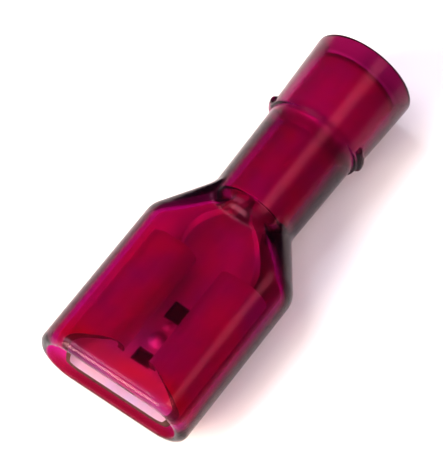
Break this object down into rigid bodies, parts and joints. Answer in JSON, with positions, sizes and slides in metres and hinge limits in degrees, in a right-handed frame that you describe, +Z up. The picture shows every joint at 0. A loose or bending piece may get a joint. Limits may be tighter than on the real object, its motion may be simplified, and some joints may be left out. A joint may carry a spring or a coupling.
{
  "type": "insulated female spade terminal",
  "caption": "Fully insulated female spade terminal: a clear red nylon housing over a tin-plated receptacle with rolled curls, a crimp barrel and an insulation sleeve.",
  "frame": {"origin": "below the middle of the length, on the surface that the terminal lies on", "axes": "+X along the barrel's centre line from the mouth to the wire end, +Y across the tab, +Z up"},
  "size_m": [0.0228, 0.0092, 0.006],
  "materials": {
    "red_nylon": "clear red moulded nylon, glossy",
    "tinned_brass": "brass sheet with bright tin plating",
    "tinned_copper": "drawn copper tube with tin plating"
  },
  "bodies": {
    "root": {"housing": "red_nylon", "receptacle": "tinned_brass", "insulation_sleeve": "tinned_copper"}
  },
  "joints": []
}
